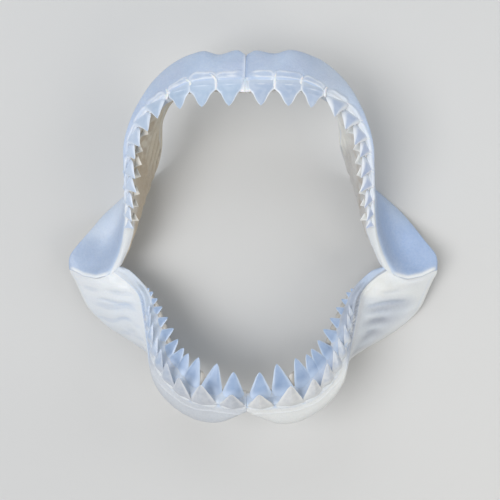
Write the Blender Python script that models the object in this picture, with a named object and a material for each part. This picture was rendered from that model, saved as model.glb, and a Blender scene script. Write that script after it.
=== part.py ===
"""Dried jaws of a white shark, set wide open, lying on their back with the teeth up.

Metres, +Z up. +Y runs from the hinges to the middle of the upper jaw, X = 0 is the plane of symmetry,
and Z = 0 is the floor, on which the rear edges of all four cartilages rest. Left and right are the
shark's own, so its left side is at +X. Each half jaw is a skin lofted over seven rails and a rear edge of
even thickness. They run from the middle of the jaw (station 0) to its hinge (station 10). The teeth are
joined to the cartilage they grow from.
"""

from bisect import bisect_right
from itertools import repeat
from math import cos, radians, sin

import bmesh
import bpy
from mathutils import Matrix, Vector

# ---------------------------------------------------------------- driving sizes
GAP = 0.0004  # air between neighbouring cartilages
MIDDLE = GAP / 2  # where a half jaw ends at the plane of symmetry
EDGE = 0.007  # thickness of the cartilage at its rear edge
FIRST_STATION, LAST_STATION = 0.0, 10.4  # the skin runs a little past the hinge, and is cut back to it
STATION_STEP = 0.4
SPAN_STEPS = (2, 2, 2, 2, 2, 2, 2, 1)  # facets round a section, from each rail to the next

BONE = (0.86, 0.88, 0.90, 1.0)
BONE_ROUGHNESS = 0.48

# Each rail: (station, x, y, z). Upper jaw, shark's left side.
UPPER_GUM = (  # where the labial face of the crowns begins, the crest of the jaw
    (0.0, 0.000, 0.227, 0.166),
    (2.0, 0.078, 0.223, 0.162),
    (3.0, 0.114, 0.208, 0.151),
    (4.0, 0.147, 0.182, 0.138),
    (5.0, 0.168, 0.149, 0.127),
    (6.0, 0.1755, 0.114, 0.115),
    (7.0, 0.1805, 0.076, 0.100),
    (8.0, 0.185, 0.026, 0.086),
    (9.0, 0.193, -0.010, 0.071),
    (10.0, 0.207, -0.044, 0.059),
    (10.6, 0.220, -0.064, 0.055),
)
UPPER_BULGE = (  # the labial bulge, which makes the outline from the front
    (0.0, 0.000, 0.262, 0.148),
    (0.4, 0.014, 0.2705, 0.141),
    (1.0, 0.040, 0.264, 0.142),
    (1.6, 0.065, 0.2705, 0.138),
    (2.4, 0.105, 0.261, 0.123),
    (3.1, 0.137, 0.235, 0.122),
    (4.0, 0.1655, 0.190, 0.128),
    (5.0, 0.182, 0.143, 0.124),
    (6.0, 0.185, 0.108, 0.114),
    (7.0, 0.187, 0.073, 0.098),
    (8.0, 0.190, 0.024, 0.083),
    (9.0, 0.200, -0.014, 0.066),
    (10.0, 0.216, -0.048, 0.057),
    (10.6, 0.228, -0.068, 0.054),
)
UPPER_FACE = (  # middle of the labial face, which hollows out between the bar and the wing
    (0.0, 0.000, 0.262, 0.116),
    (1.6, 0.065, 0.264, 0.110),
    (3.0, 0.130, 0.232, 0.098),
    (4.0, 0.156, 0.190, 0.092),
    (5.0, 0.170, 0.146, 0.080),
    (6.0, 0.178, 0.108, 0.064),
    (7.0, 0.196, 0.070, 0.045),
    (8.0, 0.214, 0.026, 0.034),
    (9.0, 0.234, -0.010, 0.030),
    (10.0, 0.252, -0.046, 0.046),
    (10.6, 0.258, -0.068, 0.054),
)
UPPER_EDGE = (  # the rear edge: along the top at first, then out to the corner of the wing
    (0.0, 0.000, 0.248, 0.090),
    (1.6, 0.065, 0.250, 0.084),
    (3.0, 0.121, 0.227, 0.070),
    (4.0, 0.141, 0.188, 0.054),
    (5.0, 0.147, 0.142, 0.038),
    (6.0, 0.160, 0.110, 0.018),
    (6.5, 0.184, 0.090, 0.0040),
    (7.0, 0.212, 0.068, 0.0040),
    (7.5, 0.232, 0.049, 0.0070),
    (8.0, 0.2475, 0.030, 0.016),
    (9.0, 0.269, -0.001, 0.033),
    (9.6, 0.283, -0.022, 0.042),
    (10.0, 0.287, -0.036, 0.042),
    (10.6, 0.2875, -0.060, 0.036),
)
UPPER_BACK = (  # middle of the side that faces the floor, and the throat
    (0.0, 0.000, 0.232, 0.094),
    (1.6, 0.062, 0.232, 0.090),
    (3.0, 0.114, 0.211, 0.080),
    (4.0, 0.1345, 0.178, 0.066),
    (5.0, 0.139, 0.142, 0.050),
    (6.0, 0.155, 0.106, 0.026),
    (7.0, 0.186, 0.064, 0.026),
    (8.0, 0.205, 0.022, 0.022),
    (9.0, 0.227, -0.014, 0.018),
    (10.0, 0.247, -0.046, 0.022),
    (10.6, 0.253, -0.068, 0.026),
)
UPPER_TONGUE_SIDE = (  # the lingual bulge, which makes the inner outline from the front
    (0.0, 0.000, 0.217, 0.118),
    (2.0, 0.078, 0.217, 0.116),
    (3.0, 0.121, 0.206, 0.106),
    (3.6, 0.135, 0.177, 0.090),
    (4.4, 0.1415, 0.153, 0.066),
    (5.0, 0.1435, 0.136, 0.050),
    (6.0, 0.152, 0.106, 0.036),
    (7.0, 0.164, 0.068, 0.042),
    (7.5, 0.1685, 0.045, 0.056),
    (8.0, 0.1735, 0.020, 0.068),
    (9.0, 0.1865, -0.012, 0.062),
    (10.0, 0.203, -0.044, 0.050),
    (10.6, 0.214, -0.066, 0.046),
)
UPPER_SHELF = (  # the lingual rim, just behind the feet of the teeth
    (0.0, 0.000, 0.2095, 0.154),
    (1.0, 0.042, 0.213, 0.154),
    (2.0, 0.078, 0.210, 0.150),
    (3.0, 0.111, 0.198, 0.140),
    (4.0, 0.140, 0.172, 0.126),
    (5.0, 0.159, 0.145, 0.117),
    (6.0, 0.166, 0.111, 0.105),
    (7.0, 0.171, 0.073, 0.089),
    (8.0, 0.1765, 0.024, 0.080),
    (9.0, 0.1875, -0.010, 0.068),
    (10.0, 0.203, -0.043, 0.056),
    (10.6, 0.215, -0.064, 0.052),
)

# Lower jaw, shark's left side.
LOWER_GUM = (
    (0.0, 0.000, -0.243, 0.134),
    (1.0, 0.038, -0.241, 0.132),
    (2.0, 0.079, -0.235, 0.128),
    (3.0, 0.107, -0.219, 0.124),
    (4.0, 0.131, -0.193, 0.116),
    (5.0, 0.146, -0.160, 0.104),
    (6.0, 0.154, -0.124, 0.090),
    (7.0, 0.161, -0.090, 0.077),
    (8.0, 0.175, -0.070, 0.070),
    (9.0, 0.192, -0.054, 0.062),
    (10.0, 0.206, -0.044, 0.054),
    (10.6, 0.216, -0.036, 0.050),
)
LOWER_BULGE = (  # the chin at first, then the ridge between the tooth row and the plate
    (0.0, 0.000, -0.2495, 0.134),
    (0.7, 0.026, -0.262, 0.128),
    (1.3, 0.050, -0.269, 0.122),
    (2.0, 0.081, -0.2645, 0.117),
    (3.0, 0.118, -0.241, 0.114),
    (4.0, 0.139, -0.213, 0.112),
    (4.7, 0.147, -0.187, 0.110),
    (5.3, 0.152, -0.160, 0.098),
    (6.0, 0.161, -0.124, 0.082),
    (7.0, 0.170, -0.090, 0.069),
    (8.0, 0.184, -0.072, 0.064),
    (9.0, 0.200, -0.060, 0.057),
    (10.0, 0.218, -0.048, 0.050),
    (10.6, 0.228, -0.038, 0.046),
)
LOWER_FACE = (  # middle of the plate
    (0.0, 0.000, -0.250, 0.112),
    (1.3, 0.052, -0.262, 0.098),
    (2.0, 0.080, -0.252, 0.090),
    (3.0, 0.114, -0.228, 0.080),
    (4.0, 0.135, -0.204, 0.072),
    (4.7, 0.150, -0.184, 0.064),
    (5.3, 0.174, -0.160, 0.054),
    (6.0, 0.206, -0.124, 0.045),
    (7.0, 0.220, -0.094, 0.047),
    (8.0, 0.232, -0.074, 0.050),
    (9.0, 0.244, -0.058, 0.050),
    (10.0, 0.254, -0.044, 0.047),
    (10.6, 0.260, -0.032, 0.044),
)
LOWER_EDGE = (
    (0.0, 0.000, -0.240, 0.076),
    (1.3, 0.052, -0.244, 0.068),
    (2.0, 0.078, -0.236, 0.060),
    (3.0, 0.108, -0.214, 0.044),
    (4.0, 0.138, -0.193, 0.022),
    (4.6, 0.170, -0.180, 0.0070),
    (5.0, 0.197, -0.165, 0.0040),
    (5.5, 0.228, -0.145, 0.0040),
    (6.0, 0.252, -0.125, 0.0070),
    (6.5, 0.2655, -0.107, 0.014),
    (7.0, 0.2735, -0.087, 0.021),
    (8.0, 0.2815, -0.065, 0.029),
    (9.0, 0.2865, -0.053, 0.034),
    (10.0, 0.2875, -0.044, 0.037),
    (10.6, 0.2875, -0.034, 0.040),
)
LOWER_BACK = (
    (0.0, 0.000, -0.233, 0.086),
    (1.3, 0.048, -0.232, 0.080),
    (3.0, 0.102, -0.204, 0.058),
    (4.0, 0.126, -0.184, 0.044),
    (4.7, 0.146, -0.170, 0.036),
    (5.3, 0.168, -0.152, 0.032),
    (6.0, 0.198, -0.120, 0.030),
    (7.0, 0.213, -0.090, 0.031),
    (8.0, 0.226, -0.070, 0.033),
    (9.0, 0.240, -0.054, 0.030),
    (10.0, 0.250, -0.042, 0.026),
    (10.6, 0.256, -0.032, 0.024),
)
LOWER_TONGUE_SIDE = (
    (0.0, 0.000, -0.229, 0.108),
    (1.0, 0.038, -0.227, 0.106),
    (2.0, 0.071, -0.217, 0.100),
    (3.0, 0.101, -0.192, 0.090),
    (4.0, 0.121, -0.172, 0.080),
    (5.0, 0.133, -0.140, 0.068),
    (6.0, 0.148, -0.110, 0.058),
    (7.0, 0.164, -0.083, 0.050),
    (8.0, 0.180, -0.066, 0.048),
    (9.0, 0.197, -0.050, 0.042),
    (10.0, 0.212, -0.042, 0.034),
    (10.6, 0.222, -0.032, 0.030),
)
LOWER_SHELF = (
    (0.0, 0.000, -0.222, 0.130),
    (1.0, 0.038, -0.219, 0.127),
    (2.0, 0.069, -0.209, 0.123),
    (3.0, 0.095, -0.185, 0.115),
    (4.0, 0.114, -0.165, 0.107),
    (5.0, 0.125, -0.136, 0.096),
    (6.0, 0.138, -0.106, 0.085),
    (7.0, 0.152, -0.080, 0.075),
    (8.0, 0.166, -0.0645, 0.069),
    (9.0, 0.186, -0.048, 0.062),
    (10.0, 0.203, -0.041, 0.052),
    (10.6, 0.214, -0.032, 0.048),
)

# The hinge line, from the corner of the mouth out to the corner of the wing: (x, y).
HINGE_LINE = (
    (0.150, -0.012),
    (0.194, -0.033),
    (0.206, -0.045),
    (0.220, -0.056),
    (0.242, -0.061),
    (0.264, -0.057),
    (0.282, -0.049),
    (0.320, -0.040),
)

# A tooth: station of its foot, crown width, crown height, heading in the XY plane and rise towards +Z (degrees).
UPPER_TEETH = (
    (0.57, 0.036, 0.042, -90, 12),
    (1.55, 0.037, 0.042, -90, 13),
    (2.47, 0.032, 0.036, -95, 14),
    (3.42, 0.031, 0.032, -97, 30),
    (4.08, 0.030, 0.031, -108, 30),
    (4.76, 0.028, 0.031, -112, 32),
    (5.33, 0.026, 0.028, -113, 32),
    (6.03, 0.026, 0.030, -113, 24),
    (6.68, 0.023, 0.027, -124, 22),
    (7.20, 0.020, 0.025, -115, 20),
    (7.60, 0.018, 0.022, -111, 20),
    (8.00, 0.014, 0.015, -136, 18),
)
UPPER_SPARE_TEETH = (  # tips of the next row, which show between the first
    (4.56, 0.014, 0.0120, -150, 26),
    (5.32, 0.015, 0.0130, -150, 26),
    (5.86, 0.015, 0.0135, -150, 26),
    (6.34, 0.014, 0.0130, -150, 26),
    (7.00, 0.013, 0.0125, -150, 26),
    (7.38, 0.011, 0.0120, -150, 26),
    (7.78, 0.011, 0.0150, -150, 26),
)
LOWER_FRONT_TEETH = (
    (0.54, 0.036, 0.041, 92, 56),
    (1.60, 0.038, 0.043, 89, 44),
    (2.58, 0.031, 0.040, 91, 44),
    (3.40, 0.027, 0.039, 93, 34),
    (4.08, 0.024, 0.036, 103, 28),
    (4.62, 0.022, 0.034, 106, 21),
    (5.18, 0.020, 0.031, 102, 14),
    (5.68, 0.018, 0.027, 101, 12),
    (6.15, 0.016, 0.023, 105, 12),
)
LOWER_INNER_TEETH = (
    (0.52, 0.033, 0.038, 92, 14),
    (1.42, 0.034, 0.046, 103, 10),
    (2.40, 0.030, 0.042, 110, 12),
    (3.02, 0.026, 0.033, 115, 12),
    (3.52, 0.025, 0.033, 124, 15),
    (4.15, 0.024, 0.031, 131, 12),
    (4.92, 0.022, 0.0255, 146, 12),
    (5.52, 0.019, 0.0205, 149, 12),
    (6.07, 0.016, 0.0165, 149, 13),
    (6.52, 0.013, 0.0130, 148, 14),
    (6.92, 0.011, 0.0100, 145, 14),
    (7.22, 0.009, 0.0070, 136, 14),
)
INNER_ROW_SHARE = 0.35  # how far the lower inner row stands from the shelf towards the gum
SPARE_ROW_SHARE = 0.30  # and the upper spare row

# A crown from its root up: share of its height, then shares of its width for its width at that level, its depth
# in front and behind, and how far it sinks under the gum.
SHOULDERED_CROWN = (
    (-0.35, 0.80, 0.02, 0.09, 0.30),
    (0.00, 1.04, 0.04, 0.16, 0.00),
    (0.39, 1.05, 0.06, 0.18, 0.00),
    (0.55, 0.69, 0.05, 0.14, 0.00),
)
SLOPING_CROWN = (
    (-0.35, 0.80, 0.04, 0.09, 0.30),
    (0.00, 1.12, 0.08, 0.16, 0.00),
    (0.40, 0.82, 0.09, 0.15, 0.00),
)
INNER_CROWN = (
    (-0.35, 1.00, 0.05, 0.14, 0.25),
    (0.00, 1.06, 0.10, 0.16, 0.00),
    (0.45, 0.68, 0.05, 0.12, 0.00),
)
DRAPED_CROWN = (
    (-0.35, 1.00, 0.02, 0.20, 0.00),
    (0.00, 1.07, 0.14, 0.20, 0.00),
    (0.50, 0.62, 0.18, 0.15, 0.00),
)
SHOULDERED_TEETH = 3  # the front ones of the upper row
FLAT_SHARE = 0.44  # of a crown's width: the flat of its front


# ---------------------------------------------------------------- curves
def hermite(knots, points, at):
    """The point at a parameter of the smooth curve through points, one for each knot."""
    last = len(knots) - 1
    i = max(0, min(last - 1, bisect_right(knots, at) - 1))

    def slope(j):
        before, after = max(j - 1, 0), min(j + 1, last)
        return (points[after] - points[before]) / (knots[after] - knots[before])

    length = knots[i + 1] - knots[i]
    t = (at - knots[i]) / length
    start, end = points[i], points[i + 1]
    return (
        start * (1 - 3 * t**2 + 2 * t**3)
        + end * (3 * t**2 - 2 * t**3)
        + slope(i) * length * (t - 2 * t**2 + t**3)
        + slope(i + 1) * length * (t**3 - t**2)
    )


def on_rail(rail, station):
    """The point of a rail at a station."""
    return hermite([knot[0] for knot in rail], [Vector(knot[1:]) for knot in rail], station)


def ring(corners, steps):
    """A smooth closed curve through the corners, with this many points from each corner to the next."""
    count = len(corners)
    around = [corners[i % count] for i in range(-2, count + 3)]
    knots = [0.0]
    for here, there in zip(around, around[1:]):
        knots.append(knots[-1] + (there - here).length ** 0.5)
    return [
        hermite(knots, around, knots[i + 2] + (knots[i + 3] - knots[i + 2]) * step / steps[i])
        for i in range(count)
        for step in range(steps[i])
    ]


# ---------------------------------------------------------------- one half jaw
def section(rails, station):
    """The closed section of a cartilage at a station. Nothing of it lies below the floor."""
    gum, bulge, face, edge, back, tongue_side, shelf = (on_rail(rail, station) for rail in rails)
    rear = edge + (back - face).normalized() * EDGE
    points = ring([gum, bulge, face, edge, rear, back, tongue_side, shelf], SPAN_STEPS)
    for point in points:
        point.z = max(point.z, 0.0)
        if station == FIRST_STATION:
            point.x = MIDDLE
    return points


def cartilage_mesh(rails):
    """The skin over all the sections of a half jaw, closed at both ends."""
    count = round((LAST_STATION - FIRST_STATION) / STATION_STEP)
    rings = [
        section(rails, FIRST_STATION + (LAST_STATION - FIRST_STATION) * i / count) for i in range(count + 1)
    ]
    return skin(rings)


def skin(rings):
    """A closed mesh through rings of as many points each, capped with a fan at either end."""
    shape = bmesh.new()
    loops = [[shape.verts.new(point) for point in points] for points in rings]
    for low, high in zip(loops, loops[1:]):
        for i, here in enumerate(low):
            after = (i + 1) % len(low)
            shape.faces.new((here, low[after], high[after], high[i]))
    for loop in (loops[0], loops[-1]):
        centre = shape.verts.new(sum((vert.co for vert in loop), Vector()) / len(loop))
        for i, here in enumerate(loop):
            shape.faces.new((here, loop[(i + 1) % len(loop)], centre))
    bmesh.ops.triangulate(shape, faces=[face for face in shape.faces if len(face.verts) == 4])
    bmesh.ops.recalc_face_normals(shape, faces=shape.faces)
    mesh = bpy.data.meshes.new("skin")
    shape.to_mesh(mesh)
    shape.free()
    return mesh


def crown_section(wide, labial, lingual):
    """Corners of a section across a crown, flat in front: how far aside, and how far forward."""
    flat = wide * FLAT_SHARE
    return (-wide / 2, 0.0), (-flat / 2, labial), (flat / 2, labial), (wide / 2, 0.0), (0.0, -lingual)


def tooth_mesh(foot, along, profile, width, height, heading, rise):
    """A flat pointed crown with its root, standing at foot. The crown's width runs along the jaw."""
    turn, lift = radians(heading), radians(rise)
    up = Vector((cos(turn) * cos(lift), sin(turn) * cos(lift), sin(lift)))
    out = up.cross(along).normalized()
    side = up.cross(out)
    rings = [
        [
            foot + up * height * level + side * width * aside + out * width * (forward - sunk)
            for aside, forward in crown_section(wide, labial, lingual)
        ]
        for level, wide, labial, lingual, sunk in profile
    ]
    shape = bmesh.new()
    loops = [[shape.verts.new(point) for point in points] for points in rings]
    tip = shape.verts.new(foot + up * height)
    for low, high in zip(loops, loops[1:]):
        for i, here in enumerate(low):
            after = (i + 1) % len(low)
            shape.faces.new((here, low[after], high[after], high[i]))
    shape.faces.new(loops[0])
    for i, here in enumerate(loops[-1]):
        shape.faces.new((here, loops[-1][(i + 1) % len(loops[-1])], tip))
    bmesh.ops.triangulate(shape, faces=shape.faces)
    bmesh.ops.recalc_face_normals(shape, faces=shape.faces)
    mesh = bpy.data.meshes.new("tooth")
    shape.to_mesh(mesh)
    shape.free()
    return mesh


def add_teeth(name, table, profiles, foot_at, outwards, collection):
    """The teeth of a row, as solids to be joined to the jaw they grow from."""
    nudge = 0.05
    for number, (tooth, profile) in enumerate(zip(table, profiles), start=1):
        station, width, height, heading, rise = tooth
        along = (foot_at(station + nudge) - foot_at(station - nudge)) * outwards
        mesh = tooth_mesh(foot_at(station), along, profile, width, height, heading, rise)
        tooth = bpy.data.objects.new(f"{name}_{number}", mesh)
        collection.objects.link(tooth)


def hinge_cutter(name, far_side, shift):
    """A block with one face along the hinge line, moved by shift in Y, that reaches to far_side."""
    low, high = -0.03, 0.16
    outline = [(x, y + shift) for x, y in HINGE_LINE]
    outline += [(outline[-1][0], far_side), (outline[0][0], far_side)]
    shape = bmesh.new()
    floor = [shape.verts.new((x, y, low)) for x, y in outline]
    top = [shape.verts.new((x, y, high)) for x, y in outline]
    shape.faces.new(floor)
    shape.faces.new(top)
    for i, here in enumerate(floor):
        after = (i + 1) % len(floor)
        shape.faces.new((here, floor[after], top[after], top[i]))
    bmesh.ops.recalc_face_normals(shape, faces=shape.faces)
    mesh = bpy.data.meshes.new(name)
    shape.to_mesh(mesh)
    shape.free()
    return bpy.data.objects.new(name, mesh)


# ---------------------------------------------------------------- the model
def new_collection(name):
    collection = bpy.data.collections.new(name)
    bpy.context.scene.collection.children.link(collection)
    return collection


def bone_material(name):
    material = bpy.data.materials.new(name)
    material.use_nodes = True
    shader = material.node_tree.nodes["Principled BSDF"]
    shader.inputs["Base Color"].default_value = BONE
    shader.inputs["Roughness"].default_value = BONE_ROUGHNESS
    shader.inputs["Metallic"].default_value = 0.0
    return material


def centre(meshes):
    """Moves the model along Y, so that Y = 0 is half way between its two ends."""
    ends = [vertex.co.y for mesh in meshes for vertex in mesh.vertices]
    middle = (min(ends) + max(ends)) / 2
    for mesh in meshes:
        mesh.transform(Matrix.Translation((0.0, -middle, 0.0)))


def joined_and_cut(name, mesh, teeth, cutter):
    """The mesh of a cartilage with its teeth joined to it and its end cut to the hinge."""
    blank = bpy.data.objects.new(name, mesh)
    bpy.context.scene.collection.objects.link(blank)
    join = blank.modifiers.new("join_teeth", "BOOLEAN")
    join.operation = "UNION"
    join.operand_type = "COLLECTION"
    join.collection = teeth
    cut = blank.modifiers.new("cut_hinge", "BOOLEAN")
    cut.operation = "DIFFERENCE"
    cut.object = cutter
    for modifier in (join, cut):
        modifier.solver = "EXACT"
    done = bpy.data.meshes.new_from_object(blank.evaluated_get(bpy.context.evaluated_depsgraph_get()))
    bpy.data.objects.remove(blank)
    return done


def add_sides(name, mesh, collection):
    """The shark's left half of a jaw, and its mirror image on the right."""
    mirrored = mesh.copy()
    for vertex in mirrored.vertices:
        vertex.co.x = -vertex.co.x
    mirrored.flip_normals()
    for side, half in (("left", mesh), ("right", mirrored)):
        half.name = f"{name}_{side}"
        half.materials.clear()
        half.materials.append(bone_material(f"bone_{name}_{side}"))
        collection.objects.link(bpy.data.objects.new(f"{name}_{side}", half))


def main():
    for obj in list(bpy.data.objects):
        bpy.data.objects.remove(obj, do_unlink=True)

    jaws = new_collection("shark_jaw")
    cutters = new_collection("cutters")
    upper_teeth = new_collection("upper_teeth")
    lower_teeth = new_collection("lower_teeth")

    upper_rails = (
        UPPER_GUM,
        UPPER_BULGE,
        UPPER_FACE,
        UPPER_EDGE,
        UPPER_BACK,
        UPPER_TONGUE_SIDE,
        UPPER_SHELF,
    )
    lower_rails = (
        LOWER_GUM,
        LOWER_BULGE,
        LOWER_FACE,
        LOWER_EDGE,
        LOWER_BACK,
        LOWER_TONGUE_SIDE,
        LOWER_SHELF,
    )

    def spare_row_foot(station):
        return on_rail(UPPER_SHELF, station).lerp(on_rail(UPPER_GUM, station), SPARE_ROW_SHARE)

    def inner_row_foot(station):
        return on_rail(LOWER_SHELF, station).lerp(on_rail(LOWER_GUM, station), INNER_ROW_SHARE)

    def upper_foot(station):
        return on_rail(UPPER_GUM, station)

    def lower_foot(station):
        return on_rail(LOWER_GUM, station)

    side_teeth = len(UPPER_TEETH) - SHOULDERED_TEETH
    upper_profiles = [SHOULDERED_CROWN] * SHOULDERED_TEETH + [SLOPING_CROWN] * side_teeth
    add_teeth("upper", UPPER_TEETH, upper_profiles, upper_foot, 1, upper_teeth)
    add_teeth("spare", UPPER_SPARE_TEETH, repeat(SLOPING_CROWN), spare_row_foot, 1, upper_teeth)
    add_teeth("lower", LOWER_FRONT_TEETH, repeat(DRAPED_CROWN), lower_foot, -1, lower_teeth)
    add_teeth("inner", LOWER_INNER_TEETH, repeat(INNER_CROWN), inner_row_foot, -1, lower_teeth)

    below_hinge = hinge_cutter("below_hinge", -0.15, GAP / 2)
    above_hinge = hinge_cutter("above_hinge", 0.08, -GAP / 2)
    for cutter in (below_hinge, above_hinge):
        cutters.objects.link(cutter)

    upper = joined_and_cut("upper_jaw", cartilage_mesh(upper_rails), upper_teeth, below_hinge)
    lower = joined_and_cut("lower_jaw", cartilage_mesh(lower_rails), lower_teeth, above_hinge)
    centre((upper, lower))
    add_sides("upper_jaw", upper, jaws)
    add_sides("lower_jaw", lower, jaws)

    for collection in (cutters, upper_teeth, lower_teeth):
        for obj in collection.objects:
            obj.hide_render = True
            obj.display_type = "WIRE"


main()
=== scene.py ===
"""Finish of the dried, wide open jaws of a white shark, lying on their back on a pale studio floor.

Metres, +Z up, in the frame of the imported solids: +Y runs from the hinges to the middle of the upper jaw,
X = 0 is the plane of symmetry and Z = 0 is the floor. Left and right are the shark's own, so its left
side is at +X. Each section makes one kind of piece: its sizes, its mesh and its material.
"""

from functools import reduce
from math import cos, pi, radians, sin

import bmesh
import bpy
import numpy as np
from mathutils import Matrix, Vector, noise


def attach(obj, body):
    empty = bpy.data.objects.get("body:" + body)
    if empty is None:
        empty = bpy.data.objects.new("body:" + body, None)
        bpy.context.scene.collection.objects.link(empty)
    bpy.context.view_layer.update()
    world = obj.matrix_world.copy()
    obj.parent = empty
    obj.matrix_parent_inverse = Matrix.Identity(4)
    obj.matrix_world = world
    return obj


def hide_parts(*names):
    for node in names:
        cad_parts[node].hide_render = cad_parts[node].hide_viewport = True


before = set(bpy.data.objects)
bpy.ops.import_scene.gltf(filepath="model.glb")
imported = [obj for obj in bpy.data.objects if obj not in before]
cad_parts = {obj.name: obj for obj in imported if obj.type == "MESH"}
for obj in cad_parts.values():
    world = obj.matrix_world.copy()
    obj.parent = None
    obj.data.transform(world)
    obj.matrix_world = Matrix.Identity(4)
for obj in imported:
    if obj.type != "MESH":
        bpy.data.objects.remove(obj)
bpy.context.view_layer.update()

# ---------------------------------------------------------------- the upper cartilages
# The two palatoquadrates: blades of cartilage under a skin of fine mineral tiles, which meet at the middle of
# the jaw and end at the hinges. The flesh is scraped off and they are dried, so the tongue side stays beige
# and the dried gum stands up in pale ridges round each tooth. The face is painted a cool white with the blue
# of the light from above, and where the cartilage faces down it is painted cream, as warm light from below.
CENTRING = -0.00099  # brings the middle of the whole jaw to Y = 0
GAP = 0.00004  # air between neighbouring cartilages
REAR_EDGE = 0.007  # thickness at the rear edge
MAIN_ROWS, HINGE_ROWS, ROUNDING_ROWS = 320, 120, 8
HINGE_CROWDING = 0.92  # below 1, the rows stand closer together near the hinge
TURN_STATION = 7.0  # from here the rows swing round to the slant of the hinge
SPAN_COLUMNS = (76, 44, 56, 8, 36, 26, 34, 40)  # from each rail to the next
HINGE_ROUNDING = 0.0004
LAST_STATION, STATION_LENGTH = 10.6, 0.039  # end of the rails, and metres of jaw to a station near the middle
HALVINGS, TRAVEL_SAMPLES = 30, 400
NUDGE = 0.002  # of a station or turn, to either side, for the slopes of the skin

# Each rail: (station, x, y, z) in millimetres. Station 0 is the middle of the jaw, and 10 is about the hinge.
UPPER_RAILS = (
    (  # the gum, where the labial face of the crowns begins
        (0, 0, 227, 166), (2, 78, 223, 162), (3, 114, 208, 151), (4, 147, 182, 138), (5, 168, 149, 127),
        (6, 175.5, 114, 115), (7, 180.5, 76, 100), (8, 185, 26, 86), (9, 193, -10, 71),
        (10, 207, -44, 59), (10.6, 220, -64, 55),
    ),
    (  # the labial bulge
        (0, 0, 262, 148), (0.4, 14, 270.5, 141), (1, 40, 264, 142), (1.6, 65, 270.5, 138),
        (2.4, 105, 261, 123), (3.1, 137, 235, 122), (4, 165.5, 190, 128), (5, 182, 143, 124),
        (6, 185, 108, 114), (7, 187, 73, 98), (8, 190, 24, 83), (9, 200, -14, 66), (10, 216, -48, 57),
        (10.6, 228, -68, 54),
    ),
    (  # the middle of the face, hollow between the bar and the wing
        (0, 0, 262, 116), (1.6, 65, 264, 110), (3, 130, 232, 98), (4, 156, 190, 92), (5, 170, 146, 80),
        (6, 178, 108, 64), (7, 196, 70, 45), (8, 214, 26, 34), (9, 234, -10, 30), (10, 252, -46, 46),
        (10.6, 258, -68, 54),
    ),
    (  # the rear edge, out to the corner of the wing
        (0, 0, 248, 90), (1.6, 65, 250, 84), (3, 121, 227, 70), (4, 141, 188, 54), (5, 147, 142, 38),
        (6, 160, 110, 18), (6.5, 184, 90, 4), (7, 212, 68, 4), (7.5, 232, 49, 7), (8, 247.5, 30, 16),
        (9, 269, -1, 33), (9.6, 283, -22, 42), (10, 287, -36, 42), (10.6, 287.5, -60, 36),
    ),
    (  # the side that faces the floor, and the throat
        (0, 0, 232, 94), (1.6, 62, 232, 90), (3, 114, 211, 80), (4, 134.5, 178, 66), (5, 139, 142, 50),
        (6, 155, 106, 26), (7, 186, 64, 26), (8, 205, 22, 22), (9, 227, -14, 18), (10, 247, -46, 22),
        (10.6, 253, -68, 26),
    ),
    (  # the lingual bulge
        (0, 0, 217, 118), (2, 78, 217, 116), (3, 121, 206, 106), (3.6, 135, 177, 90),
        (4.4, 141.5, 153, 66), (5, 143.5, 136, 50), (6, 152, 106, 36), (7, 164, 68, 42),
        (7.5, 168.5, 45, 56), (8, 173.5, 20, 68), (9, 186.5, -12, 62), (10, 203, -44, 50),
        (10.6, 214, -66, 46),
    ),
    (  # the lingual rim, just behind the feet of the teeth
        (0, 0, 209.5, 154), (1, 42, 213, 154), (2, 78, 210, 150), (3, 111, 198, 140),
        (4, 140, 172, 126), (5, 159, 145, 117), (6, 166, 111, 105), (7, 171, 73, 89),
        (8, 176.5, 24, 80), (9, 187.5, -10, 68), (10, 203, -43, 56), (10.6, 215, -64, 52),
    ),
)
# The hinge line, from the corner of the mouth out to the corner of the wing: (x, y) in millimetres.
HINGE_LINE = (
    (150, -12), (194, -33), (206, -45), (220, -56), (242, -61), (264, -57), (282, -49), (320, -40),
)


def in_metres(*teeth):
    """Teeth whose width and height are given in millimetres, with these in metres."""
    return [(station, width / 1000, height / 1000, *way) for station, width, height, *way in teeth]


# A tooth: station of its foot, crown width and height in millimetres, heading in the XY plane and rise to +Z
# in degrees.
UPPER_TEETH = in_metres(
    (0.57, 36, 42, -90, 12), (1.55, 37, 42, -90, 13), (2.47, 32, 36, -95, 14), (3.42, 31, 32, -97, 30),
    (4.08, 30, 31, -108, 30), (4.76, 28, 31, -112, 32), (5.33, 26, 28, -113, 32),
    (6.03, 26, 30, -113, 24), (6.68, 23, 27, -124, 22), (7.20, 20, 25, -115, 20),
    (7.60, 18, 22, -111, 20), (8.00, 14, 15, -136, 18),
)
PAD_HEIGHT, SIDE_PAD_HEIGHT = 0.26, 0.46  # of the crown's width: the pad of gum over the root of each tooth
PAD_BELOW = 0.006  # how far that pad reaches down under the crown
FRONT_PADS = 3  # as many teeth have a flat pad, and those behind them a taller and rounder one
PAD_CORNER = 0.007  # radius of its corners
PAD_RELIEF, SIDE_PAD_RELIEF = 0.0010, 0.0016  # how far they stand up
GUM_RIDGE, RIDGE_RELIEF, INNER_RELIEF = 0.0022, 0.0008, 0.0006  # width, height, and height of the inner one
THROAT_FOLD, FOLD_RELIEF, FOLD_WANDER = 0.0130, 0.0013, 0.0080  # from one to the next, height, and waviness
RIM_WIDTH, RIM_RELIEF, BOWL_DEPTH = 0.0034, 0.0010, 0.0025  # the rim by the hinge, and the hollow before it
BETWEEN_RELIEF = 0.0012  # the gum behind and between the crowns


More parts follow.
